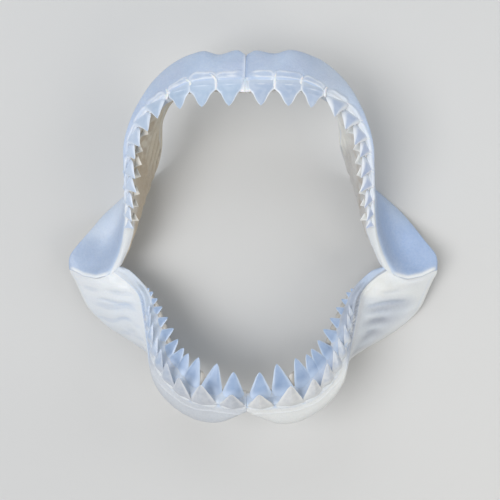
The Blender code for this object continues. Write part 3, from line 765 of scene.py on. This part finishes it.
# ---------------------------------------------------------------- the gum between the upper teeth
# Ridges of dried gum, pale as wax, that run down between neighbouring crowns and end at the notch between
# them. They shrank on to the teeth as the jaw dried. A broader web closes the gap at the middle. The pale
# tops of the front ridges are partly painted highlight, and the web is painted paler towards its foot.
RIDGE_ROWS, RIDGE_COLUMNS = 40, 20
RIDGE_START = 0.0100  # how far up the labial face a ridge begins
RIDGE_WIDTHS = (0.0014, 0.0020, 0.0026, 0.0026)  # half of them, from that start to the notch
FULL_START_WIDTH, FULL_SIZE_WIDTH = 0.034, 0.036  # beside narrower crowns, that start and these widths shrink
RIDGE_LIFTS = (0.0006, 0.0012, 0.0014)  # its line above the gum: at the start, half way and at the crowns
RIDGE_THICKNESS, WEB_THICKNESS = 0.0011, 0.0020
RIDGE_SLANT = {"left": 0.06, "right": 0.26}  # how many stations further out the front ones begin
RIDGE_COUNT = {"left": 11, "right": 4}  # on the right the teeth at the side hide the others
FRONT_NOTCH, SIDE_NOTCH = 0.42, 0.24  # of the crowns' height: where the ridge ends
WEB_PATH = ((0.0, 0.2270, 0.1655), (0.0, 0.2190, 0.1680), (0.0, 0.2120, 0.1690), (0.0, 0.2050, 0.1685))
WEB_WIDTHS = (0.0004, 0.0030, 0.0060, 0.0100)


def axis_point(tooth, share):
    """A point on the middle line of an upper crown, at this share of its height."""
    return foot_point(UPPER_RAILS, 1, np.array([tooth[0]]))[0] + heading(tooth) * tooth[2] * share


def ridge_points(path, widths, thickness, facing):
    """A low swelling along a path, facing outwards, whose half widths are given at each path point."""
    knots = np.arange(len(path), dtype=float)
    at = np.linspace(0, knots[-1], RIDGE_ROWS)
    line = through(knots, path, at)
    wide = np.maximum(through(knots, np.array(widths)[:, None], at), 0.0002)
    wide *= np.sqrt(np.clip(1 - ((at / knots[-1] - 0.5) * 2)[:, None] ** 8, 0.002, 1))
    run = np.gradient(line, axis=0)
    across = unit(np.cross(run, facing))
    out = unit(np.cross(across, run))
    v = np.arange(RIDGE_COLUMNS) / RIDGE_COLUMNS * 2 * pi
    flat = np.minimum(wide / max(widths) * 1.6, 1.0) * thickness
    rows = ((across, wide * np.cos(v)), (out, flat * np.sin(v) ** 3))
    return line[:, None, :] + sum(way[:, None, :] * reach[:, :, None] for way, reach in rows)


def upper_ridges(slant, count, hook):
    """The web at the middle, then the ridge between each tooth and the next."""
    web = ridge_points(np.array(WEB_PATH) + (0, CENTRING, 0), WEB_WIDTHS, WEB_THICKNESS, (0, 0, 1))
    web[:, :, 0] = np.maximum(web[:, :, 0], GAP / 2)
    ridges = [web]
    for number, (tooth, after) in enumerate(zip(UPPER_TEETH[:count], UPPER_TEETH[1:])):
        middle = np.array([(tooth[0] + after[0]) / 2])
        gum, bulge = (on_skin(UPPER_RAILS, middle, np.array([turn]))[0] for turn in (0.0, 1.0))
        turn = RIDGE_START * min(1.0, tooth[1] / FULL_START_WIDTH) / np.linalg.norm(bulge - gum)
        in_front = number < SHOULDERED_TEETH - 1
        further = slant if in_front else 0.0
        start, half_way = (
            on_skin(UPPER_RAILS, middle + share * further, np.array([share * turn]))[0] + (0, 0, lift)
            for share, lift in zip((1.0, 0.45), RIDGE_LIFTS)
        )
        level = FRONT_NOTCH if in_front else SIDE_NOTCH
        share = 0.5 if in_front else 0.5 + 0.6 * hook
        notch = axis_point(tooth, level) * (1 - share) + axis_point(after, level) * share
        path = [start, half_way, gum * 0.8 + notch * 0.2 + (0, 0, RIDGE_LIFTS[2]), notch]
        size = tooth[1] / FULL_SIZE_WIDTH
        facing = np.cross(notch - gum, axis_point(after, 0) - axis_point(tooth, 0))
        ridges.append(ridge_points(path, [w * size for w in RIDGE_WIDTHS], RIDGE_THICKNESS, facing))
    return ridges


def ridges_mesh(name, ridges, mirrored):
    """One mesh of all the ridges, with a mask that is 1 where they are palest, partly painted highlight."""
    points, faces, crest_and_highlight = [], [], []
    up_the_side = np.clip(np.sin(np.arange(RIDGE_COLUMNS) / RIDGE_COLUMNS * 2 * pi), 0, 1)
    down = np.linspace(0, 1, RIDGE_ROWS)[:, None]
    for number, ridge in enumerate(ridges):
        pale = np.full((RIDGE_ROWS, RIDGE_COLUMNS), 0.85)
        if number == 0:
            pale[:] = 0.50 + 0.38 * step(down, 0.30, 0.95)
        elif number < SHOULDERED_TEETH:
            pale[:] = step(down, 0.0, 0.45) * up_the_side**1.3
        crest_and_highlight += pale.ravel().tolist()
        index, quads = ring_faces(*ridge.shape[:2], len(points))
        faces += [*quads, index[0].tolist(), index[-1].tolist()]
        points += ridge.reshape(-1, 3).tolist()
    return closed_mesh(name, np.array(points), faces, {"crest_and_highlight": crest_and_highlight}, mirrored)


def gum_finish():
    """Dried gum: waxy and pale, a little yellow in patches."""
    finish = Finish(
        "dried_gum",
        {"Metallic": 0.0, "Subsurface Weight": 0.15, "Subsurface Scale": 0.002, "Coat Weight": 0.2},
    )
    pale = finish.mix(finish.cloud(0.006), (0.78, 0.79, 0.81), (0.85, 0.84, 0.80))
    # Pale gum, partly painted highlight, where the mask is high; elsewhere the cool white of the cartilage
    # with its painted blue light.
    colour = finish.mix(finish.mask("crest_and_highlight"), (0.46, 0.57, 0.74), pale)
    finish.wear(colour, 0.42, finish.cloud(0.0012, detail=4.0), 0.00008)
    return finish.material


gum = gum_finish()
for side, mirrored, _ in SIDES:
    ridges = upper_ridges(RIDGE_SLANT[side], RIDGE_COUNT[side], HOOK[side])
    add_piece(ridges_mesh(f"upper_gum_ridges_{side}", ridges, mirrored), gum)

# ---------------------------------------------------------------- the lower cartilages
# The two halves of the lower jaw, of the same tiled cartilage as the upper ones. In front they carry the
# teeth above the chin. Behind, each widens into a broad plate that reaches the corner of the wing.
LOWER_RAILS = (
    (  # the gum
        (0, 0, -243, 134), (1, 38, -241, 132), (2, 79, -235, 128), (3, 107, -219, 124),
        (4, 131, -193, 116), (5, 146, -160, 104), (6, 154, -124, 90), (7, 161, -90, 77),
        (8, 175, -70, 70), (9, 192, -54, 62), (10, 206, -44, 54), (10.6, 216, -36, 50),
    ),
    (  # the chin at first, then the ridge between the tooth row and the plate
        (0, 0, -249.5, 134), (0.7, 26, -262, 128), (1.3, 50, -269, 122), (2, 81, -264.5, 117),
        (3, 118, -241, 114), (4, 139, -213, 112), (4.7, 147, -187, 110), (5.3, 152, -160, 98),
        (6, 161, -124, 82), (7, 170, -90, 69), (8, 184, -72, 64), (9, 200, -60, 57), (10, 218, -48, 50),
        (10.6, 228, -38, 46),
    ),
    (  # the middle of the plate
        (0, 0, -250, 112), (1.3, 52, -262, 98), (2, 80, -252, 90), (3, 114, -228, 80),
        (4, 135, -204, 72), (4.7, 150, -184, 64), (5.3, 174, -160, 54), (6, 206, -124, 45),
        (7, 220, -94, 47), (8, 232, -74, 50), (9, 244, -58, 50), (10, 254, -44, 47),
        (10.6, 260, -32, 44),
    ),
    (  # the rear edge
        (0, 0, -240, 76), (1.3, 52, -244, 68), (2, 78, -236, 60), (3, 108, -214, 44),
        (4, 138, -193, 22), (4.6, 170, -180, 7), (5, 197, -165, 4), (5.5, 228, -145, 4),
        (6, 252, -125, 7), (6.5, 265.5, -107, 14), (7, 273.5, -87, 21), (8, 281.5, -65, 29),
        (9, 286.5, -53, 34), (10, 287.5, -44, 37), (10.6, 287.5, -34, 40),
    ),
    (  # the side that faces the floor
        (0, 0, -233, 86), (1.3, 48, -232, 80), (3, 102, -204, 58), (4, 126, -184, 44),
        (4.7, 146, -170, 36), (5.3, 168, -152, 32), (6, 198, -120, 30), (7, 213, -90, 31),
        (8, 226, -70, 33), (9, 240, -54, 30), (10, 250, -42, 26), (10.6, 256, -32, 24),
    ),
    (  # the lingual bulge
        (0, 0, -229, 108), (1, 38, -227, 106), (2, 71, -217, 100), (3, 101, -192, 90),
        (4, 121, -172, 80), (5, 133, -140, 68), (6, 148, -110, 58), (7, 164, -83, 50),
        (8, 180, -66, 48), (9, 197, -50, 42), (10, 212, -42, 34), (10.6, 222, -32, 30),
    ),
    (  # the lingual rim
        (0, 0, -222, 130), (1, 38, -219, 127), (2, 69, -209, 123), (3, 95, -185, 115),
        (4, 114, -165, 107), (5, 125, -136, 96), (6, 138, -106, 85), (7, 152, -80, 75),
        (8, 166, -64.5, 69), (9, 186, -48, 62), (10, 203, -41, 52), (10.6, 214, -32, 48),
    ),
)
FRONT_TEETH = in_metres(
    (0.54, 36, 41, 92, 56), (1.60, 38, 43, 89, 44), (2.58, 31, 40, 91, 44), (3.40, 27, 39, 93, 34),
    (4.08, 24, 36, 103, 28), (4.62, 22, 34, 106, 21), (5.18, 20, 31, 102, 14), (5.68, 18, 27, 101, 12),
    (6.15, 16, 23, 105, 12),
)
INNER_TEETH = in_metres(
    (0.52, 33, 38, 92, 14), (1.42, 34, 46, 103, 10), (2.40, 30, 42, 110, 12), (3.02, 26, 33, 115, 12),
    (3.52, 25, 33, 124, 15), (4.15, 24, 31, 131, 12), (4.92, 22, 25.5, 146, 12),
    (5.52, 19, 20.5, 149, 12), (6.07, 16, 16.5, 149, 13), (6.52, 13, 13, 148, 14),
    (6.92, 11, 10, 145, 14), (7.22, 9, 7, 136, 14),
)
# Creases across the plate: (x, y) of either end, depth and width.
PLATE_CREASES = (
    ((0.168, -0.1030), (0.252, -0.0945), 0.0017, 0.0030),
    ((0.196, -0.0830), (0.238, -0.0800), 0.0006, 0.0030),
    ((0.178, -0.1120), (0.222, -0.1090), 0.0005, 0.0030),
    ((0.178, -0.1260), (0.214, -0.1250), 0.0010, 0.0034),
    ((0.174, -0.1420), (0.196, -0.1440), 0.0010, 0.0034),
)
DARK_CREASE = 0.0013  # the depth from which a crease gets its full painted shade
PLATE_SWELL, PLATE_SWELL_HEIGHT = 0.0210, 0.0006  # the folds between them: from one to the next, and height
ARTICULAR_BULGE, BULGE_WIDTH, BULGE_HEIGHT = (0.203, -0.070), 0.016, 0.0040
SILLED_TEETH = 6  # those in front, each in a pad with a pale sill
LOWER_PAD, LOWER_PAD_RELIEF = 0.0045, 0.0012
WRINKLE, WRINKLE_RELIEF = 0.0075, 0.0008  # of the band beside the tooth row: from one to the next, and height
LINGUAL_FOLD, LINGUAL_FOLD_RELIEF = 0.0170, 0.0008
SECOND_SILL = 0.0115  # how far down the chin it runs
SECOND_SILL_WIDTH, SECOND_SILL_RELIEF = 0.0011, 0.0005
BETWEEN_ROWS_RELIEF, MORE_AT_SIDE = 0.0030, 0.0025  # the gum that fills up the space between the rows
BAND_RELIEF = 0.0010  # the ridge between the tooth row and the plate
HINGE_RIM_WIDTH, HINGE_RIM_RELIEF = 0.009, 0.0040
COOL_LIT = {"left": 0.0, "right": 1.0}  # painted light: bluer light and a whiter plate on the right half


def from_segment(points, start, end):
    """Distance in plan from a straight line between two points, and how far along it that is."""
    start, end = np.array(start), np.array(end)
    run = end - start
    offset = points[:, :, :2] - start
    share = np.clip(offset @ run / (run @ run), 0, 1)
    return np.linalg.norm(offset - share[:, :, None] * run, axis=2), share


def lower_relief(skin, seed, cool_lit):
    """Height over the plain skin, and the masks of its finish with painted light and shade, for a lower
    cartilage.

    A turn of 1 is the chin and, further back, the ridge between the teeth and the plate. 2 is the middle of
    the plate, and the others are those of the upper cartilage.
    """
    points, station, turn = skin.points, skin.station, skin.turn
    tongue = within(turn, 5.2, 5.9, 7.0, 7.5) * step(station, 8.6, 7.0)
    plate = within(turn, 1.0, 1.35, 2.8, 3.1) * step(station, 4.2, 5.2)
    in_front = step(station, 4.6, 3.4)
    uneven = 0.0020 * waves(points, 0.020, seed + 4)

    # The pads of gum under the front teeth with their sills, and the gum between the rows.
    height, sill, ledge = (np.zeros(station.shape) for _ in range(3))
    for tooth in FRONT_TEETH[:SILLED_TEETH]:
        outline = skin.pad(tooth, LOWER_PAD, uneven)
        height = most(height, LOWER_PAD_RELIEF * step(outline, 0.0016, -0.0016))
        sill = most(sill, hump(outline + 0.0006, 0.0010) * step(skin.labial, 0.0, 0.002))
        ledge = most(ledge, step(outline, 0.0040, 0.0))
    second_sill = hump(skin.labial - SECOND_SILL + uneven, SECOND_SILL_WIDTH) * in_front
    height += SECOND_SILL_RELIEF * second_sill
    between_rows = step(turn, 7.0, 7.3) * step(station, 8.6, 7.4)
    filled = between_rows * within(turn, 7.45, 7.80, 7.90, 8.0)
    height += (BETWEEN_ROWS_RELIEF + MORE_AT_SIDE * step(station, 3.8, 5.0)) * filled

    # The wrinkled band beside the side teeth, and the ridge outside it.
    plate_edge = 0.86 - 0.56 * (1 - cool_lit) * step(station, 6.7, 8.0)
    inside_edge, labial_side = step(turn, plate_edge + 0.14, plate_edge - 0.06), step(skin.labial, 0.0, 0.003)
    side_band = inside_edge * labial_side * step(station, 4.4, 5.4)
    wrinkles = np.sin(2 * pi * (skin.travel(station) + 0.004 * waves(points, 0.014, seed + 11)) / WRINKLE)
    height += WRINKLE_RELIEF * side_band * wrinkles * step(station, 8.0, 6.6)
    band = hump(turn - 1.0, 0.10) * within(station, 4.4, 5.2, 7.6, 9.0)
    height += BAND_RELIEF * band

    # The creases and swells of the plate, and the knob that bears on the upper jaw.
    creased = np.zeros(station.shape)
    wavy = points + 0.0036 * waves(points, 0.036, seed + 2)[:, :, None]
    for start, end, depth, width in PLATE_CREASES:
        distance, share = from_segment(wavy, start, end)
        line = hump(distance, width) * within(share, 0.0, 0.3, 0.7, 1.0)
        height = height - depth * (1 - 0.3 * cool_lit) * line * plate
        creased = most(creased, line * plate * depth / DARK_CREASE)
    across = wavy[:, :, 1] - 0.12 * points[:, :, 0] + 0.006 * waves(points, 0.055, seed + 13)
    swells = np.sin(2 * pi * across / PLATE_SWELL)
    swells *= plate * (1 - 0.4 * cool_lit) * (0.5 + 1.2 * waves(points, 0.040, seed + 5))
    height += PLATE_SWELL_HEIGHT * swells
    dome = hump(np.linalg.norm(points[:, :, :2] - ARTICULAR_BULGE, axis=2), BULGE_WIDTH)
    height += BULGE_HEIGHT * (1 - 0.4 * cool_lit) * dome * within(turn, 0.2, 0.9, 2.4, 3.0)

    # The rim by the hinge, the folds inside the mouth and the dents of drying.
    hinge_sides = step(turn, 1.9, 1.3) + step(turn, 7.2, 7.8)
    height += HINGE_RIM_RELIEF * hump(skin.from_hinge, HINGE_RIM_WIDTH) * hinge_sides
    folds = np.sin(2 * pi * (skin.lingual + 0.0090 * waves(points, 0.040, seed + 3)) / LINGUAL_FOLD)
    folds *= 0.6 + 0.9 * waves(points, 0.045, seed + 12)
    height += tongue * folds * LINGUAL_FOLD_RELIEF
    height += 0.0008 * waves(points, 0.028, seed + 6) + 0.00012 * waves(points, 0.007, seed + 7)

    # Cream, partly painted light: most of the plate, the rear edge, the chin and the gum. Painted light on
    # the dome, the ledges under the front teeth, between the rows, by the hinge and on its rim; less cream
    # where shade is painted in the creases, the troughs of the swells and the middle of the left plate; and a
    # darker border by the teeth on the left half, a painted shadow.
    pale = within(turn, plate_edge, plate_edge + 0.16, 2.8, 3.1) * step(station, 4.2, 5.2)
    upper_part = step(points[:, :, 1], -0.102, -0.082)
    middle = plate * (1 - upper_part) * hump(turn - 2.0, 0.75) * (1 - 0.7 * step(turn, 2.4, 2.85))
    pale = pale * (0.92 - cool_lit * (0.14 - 0.12 * upper_part)) * (1 - 0.30 * (1 - cool_lit) * middle)
    rear = within(turn, 2.6, 3.0, 3.8, 4.2)
    trough_shade = cool_lit * plate * step(swells, -0.05, -0.45)
    cream = most(pale, 0.9 * rear) + 0.1 * dome - 0.10 * plate - 0.20 * creased - 0.20 * trough_shade
    chin = step(station, 5.3, 4.3) * within(turn, 0.02, 0.25, 2.8, 3.2)
    cream = most(cream + (0.95 - 0.20 * cool_lit) * chin, 0.75 * ledge, (0.16 + 0.16 * cool_lit) * between_rows)
    near_hinge = (step(turn, 6.9, 7.3) + inside_edge) * step(station, 6.8, 8.2)
    hinge_rim = hump(skin.from_hinge, 0.007) * within(turn, 0.6, 1.2, 3.0, 3.4)
    border = hump(turn - plate_edge - 0.20, 0.20) * within(station, 4.4, 5.2, 6.8, 8.0)
    border = border * (1 - cool_lit) * labial_side
    cream = most(cream, 0.50 * cool_lit * near_hinge, 0.9 * hinge_rim) * (1 - 0.75 * border)

    # Painted shade and highlights: grey painted shade in the middle of the left plate, by its teeth and by
    # the hinge, and on the chin, more on the right half; white painted highlights on the sills, the rims, the
    # lower edge and the plate of the right half; bluer painted shade in the creases, the troughs of the
    # swells of the right half, on the band and beside the side teeth; and brown in the troughs of the folds
    # inside the mouth, painted shade.
    lower_edge = step(station, 7.0, 5.4) * within(turn, 1.7, 2.5, 3.0, 3.4)
    grey_side = side_band + between_rows * step(station, 4.6, 6.0)
    grey = (0.56 - 0.50 * cool_lit) * middle * (0.85 - 0.7 * swells)
    grey = grey + (0.20 + 0.26 * cool_lit) * chin * (1 - 0.8 * lower_edge)
    plain = pale * (1 - np.minimum(0.45 * creased + 0.45 * trough_shade, 1))
    edges = most(hinge_rim, lower_edge)
    shade = (0.26 - 0.08 * cool_lit) * creased + 0.20 * trough_shade + 0.25 * band
    return height, {
        "crest_and_highlight": most(0.6 * sill, 0.4 * second_sill, 0.78 * cool_lit * plain, 0.6 * edges),
        "cream": cream,
        "grey": grey + (1 - cool_lit) * (0.60 * grey_side + 0.18 * near_hinge + 0.16 * creased),
        "lingual": most(0.8 * tongue, (0.40 - 0.30 * cool_lit) * side_band, 0.45 * border),
        "stain_and_shade": tongue * step(folds, -0.4, -1.0),
        "shade": shade + (0.35 - 0.25 * cool_lit) * side_band,
    }


lower_skin = Skin(LOWER_RAILS, outwards=-1, side_of_hinge=-1, middle_rounding=0.0010)
for side, mirrored, seed in SIDES:
    height, masks = lower_relief(lower_skin, seed + 10, COOL_LIT[side])
    mesh = lower_skin.mesh(f"lower_cartilage_{side}", height, masks, mirrored)
    add_piece(mesh, cartilage, f"lower_jaw_{side}")

# ---------------------------------------------------------------- the lower teeth
# Narrower crowns than the upper ones. Those of the front row lean forward over the chin, each with a low
# ridge down its face. The inner row stands behind them, and a few of the third show as lobes between those.
INNER_ROW_SHARE = 0.35  # how far the inner row stands from the shelf towards the gum
THIRD_ROW_SHARE = 0.10
THIRD_TEETH = in_metres(
    (2.08, 24, 19, 105, 8), (4.60, 22, 8, 140, 8), (5.18, 20, 7.8, 148, 8), (5.76, 18, 6.6, 149, 8),
    (6.28, 15, 6, 148, 8),
)
INNER_CROWN = (
    (-40, 120, 20, 14, 40), (-10, 116, 14, 16, 5), (5, 103, 9, 16, 0), (20, 92, 6, 15, 0),
    (40, 74, 5, 13, 0), (60, 54, 4, 10, 0), (80, 34, 3, 7, 0), (92, 18, 1.5, 3.5, 0), (100, 0, 0, 0, 0),
)
DRAPED_CROWN = (  # a tent of enamel whose foot runs out into the gum
    (-35, 120, 2, 20, 0), (-5, 112, 5, 20, 0), (6, 102, 15, 20, 0), (30, 82, 20, 18, 0),
    (50, 62, 18, 15, 0), (70, 41, 14, 11, 0), (86, 24, 8, 7, 0), (100, 0, 0, 0, 0),
)
LOBE_CROWN = (
    (-60, 100, 10, 10, 0), (0, 100, 12, 12, 0), (40, 92, 12, 12, 0), (75, 66, 9, 9, 0),
    (93, 36, 5, 5, 0), (100, 0, 0, 0, 0),
)
FRONT_ENAMEL = {  # body, rim, root, and body at the rear; the halves are lit and shaded copies
    "left": ((0.62, 0.63, 0.64), (0.82, 0.82, 0.80), (0.66, 0.67, 0.67), (0.44, 0.50, 0.60)),
    "right": ((0.49, 0.52, 0.57), (0.74, 0.75, 0.76), (0.56, 0.58, 0.62), (0.40, 0.49, 0.63)),
}
inner_body, lobe_body = (0.30, 0.40, 0.57), (0.42, 0.40, 0.36)
# The inner row's roots are painted lighter: painted light where the front row shades their feet.
inner_enamel = enamel_finish("inner_enamel", inner_body, (0.55, 0.64, 0.76), (0.54, 0.64, 0.79), inner_body)
lobe_enamel = enamel_finish("lobe_enamel", lobe_body, (0.52, 0.49, 0.45), (0.34, 0.31, 0.27), lobe_body)
for side, mirrored, _ in SIDES:
    front_enamel = enamel_finish(f"front_enamel_{side}", *FRONT_ENAMEL[side], mottling=0.35, rim_fade=0.6)
    for row, share, table, outline, enamel, face_power in (
        ("front", 1, FRONT_TEETH, DRAPED_CROWN, front_enamel, 1.4),
        ("inner", INNER_ROW_SHARE, INNER_TEETH, INNER_CROWN, inner_enamel, 4.0),
        ("third", THIRD_ROW_SHARE, THIRD_TEETH, LOBE_CROWN, lobe_enamel, 2.0),
    ):
        name, outlines = f"lower_{row}_teeth_{side}", [outline] * len(table)
        add_piece(tooth_row(name, LOWER_RAILS, share, table, outlines, face_power, mirrored), enamel)

# ---------------------------------------------------------------- floor, lights and camera
# A plain pale studio floor, a large soft light from the left, weaker ones from the top and the right, and a
# camera straight above, a little to the right of the plane of symmetry, as in the photograph.
FLOOR_SIZE, FLOOR_LEVEL, FLOOR_COLOUR = 6.0, -0.0001, (0.60, 0.595, 0.58)
LIGHTS = (  # name, place, size, watts, colour
    ("key_light", (-1.75, -0.45, 3.4), 2.6, 104.0, (0.98, 0.985, 1.0)),
    ("top_light", (-0.3, 1.3, 1.1), 1.0, 4.5, (0.90, 0.95, 1.0)),
    ("side_light", (1.3, 0.5, 0.9), 0.8, 5.0, (0.95, 0.97, 1.0)),
    ("warm_light", (1.0, -0.8, 1.0), 0.8, 5.5, (1.0, 0.95, 0.86)),
)
LIT_POINT = Vector((0, 0, 0.05))
WORLD_COLOUR, WORLD_STRENGTH = (0.84, 0.89, 0.96), 0.33
CAMERA_TARGET = Vector((0.0015, -0.017, 0.080))
CAMERA_YAW, CAMERA_DISTANCE = radians(3.44), 1.2
METRES_PER_PIXEL, PHOTO_WIDTH, SENSOR_WIDTH = 0.001514, 500, 36.0


def floor_finish():
    finish = Finish("studio_floor", {"Metallic": 0.0})
    finish.wear(FLOOR_COLOUR, 0.75, finish.cloud(0.002), 0.00003)
    return finish.material


floor_mesh = bpy.data.meshes.new("floor")
square = ((-0.5, -0.5), (0.5, -0.5), (0.5, 0.5), (-0.5, 0.5))
corners = [(x * FLOOR_SIZE, y * FLOOR_SIZE, FLOOR_LEVEL) for x, y in square]
floor_mesh.from_pydata(corners, [], [(0, 1, 2, 3)])
floor_mesh.materials.append(floor_finish())
placed("floor", floor_mesh)

for name, place, size, watts, colour in LIGHTS:
    lamp = bpy.data.lights.new(name, "AREA")
    lamp.shape, lamp.size, lamp.energy, lamp.color = "SQUARE", size, watts, colour
    light = placed(name, lamp)
    light.location = place
    light.rotation_euler = (LIT_POINT - light.location).to_track_quat("-Z", "Y").to_euler()

world = bpy.data.worlds.new("studio")
world.use_nodes = True
background = world.node_tree.nodes["Background"]
background.inputs["Color"].default_value = (*WORLD_COLOUR, 1.0)
background.inputs["Strength"].default_value = WORLD_STRENGTH
bpy.context.scene.world = world
bpy.context.scene.view_settings.view_transform = "Standard"

back = Vector((sin(CAMERA_YAW), 0.0, cos(CAMERA_YAW)))
lens = bpy.data.cameras.new("camera")
lens.sensor_fit, lens.sensor_width = "HORIZONTAL", SENSOR_WIDTH
lens.lens = SENSOR_WIDTH * (CAMERA_DISTANCE / METRES_PER_PIXEL) / PHOTO_WIDTH
camera = placed("camera", lens)
camera.location = CAMERA_TARGET + back * CAMERA_DISTANCE
camera.rotation_euler = (0.0, CAMERA_YAW, 0.0)
bpy.context.scene.camera = camera

bpy.context.view_layer.update()
